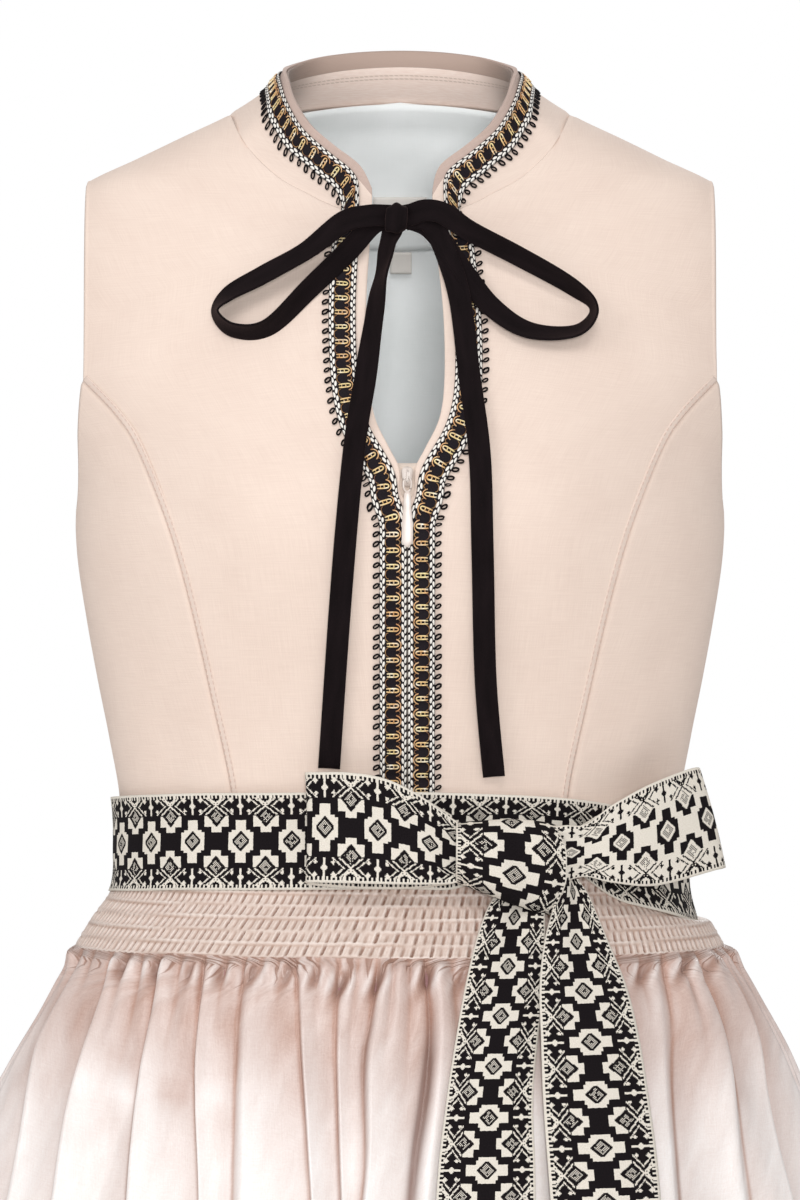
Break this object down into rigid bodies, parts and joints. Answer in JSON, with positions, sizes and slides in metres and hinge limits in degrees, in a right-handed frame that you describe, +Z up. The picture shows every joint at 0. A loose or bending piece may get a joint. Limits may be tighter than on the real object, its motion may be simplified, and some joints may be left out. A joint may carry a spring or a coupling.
{
  "type": "dirndl",
  "caption": "Sleeveless midi dirndl with stand collar, keyhole, zip front, braid, velvet neck bow, smocked satin apron and woven belt ribbon, in its worn hollow shape.",
  "frame": {"origin": "middle of the neck, level with the foot of the collar at the shoulders, where the wearer's neck and shoulders hold the dress", "axes": "+Z up, the front faces -Y, the wearer's left side is +X"},
  "size_m": [0.7144, 0.6119, 1.0718],
  "materials": {
    "linen": "matt plain-woven cloth, warm off-white",
    "peach_cloth": "matt plain-woven cloth, peach",
    "lining": "matt lining cloth, pale grey",
    "label_cloth": "blank woven label",
    "braid": "woven trimming, black with gold and white",
    "jacquard": "woven ribbon, black and cream",
    "satin": "soft satin, pale rose",
    "skirt_cloth": "smooth cloth, mauve",
    "zip_tape": "zip tape, cream",
    "enamel": "enamelled metal, cream",
    "velvet": "velvet ribbon, black"
  },
  "bodies": {
    "dress": {"front_left": "linen", "front_right": "linen", "side_front_left": "linen", "side_front_right": "linen", "side_back_left": "linen", "side_back_right": "linen", "back_centre": "linen", "collar": "linen", "collar_facing": "peach_cloth", "back_lining": "lining", "back_neck_facing": "lining", "neck_label": "label_cloth", "size_tab": "label_cloth", "braid": "braid", "belt": "jacquard", "smocked_band": "satin", "apron_skirt": "satin", "skirt_front": "skirt_cloth", "skirt_back": "skirt_cloth", "zip_tape": "zip_tape", "zip_slider": "enamel", "tie_base_right": "velvet", "tie_base_left": "velvet", "tie_loop_right": "velvet", "tie_loop_left": "velvet", "tie_tail_right": "velvet", "tie_tail_left": "velvet", "tie_knot": "velvet", "bow_knot": "jacquard", "bow_loop_right": "jacquard", "bow_loop_left": "jacquard", "bow_tail_right": "jacquard", "bow_tail_left": "jacquard"},
    "pull_tab": {"zip_pull": "enamel"}
  },
  "joints": [
    {"name": "pull_tab_swing", "type": "hinge", "parent": "dress", "child": "pull_tab", "pos_m": [0.0035, -0.11596, -0.1916], "axis": [-1, 0, 0], "range_deg": [0, 150]}
  ]
}
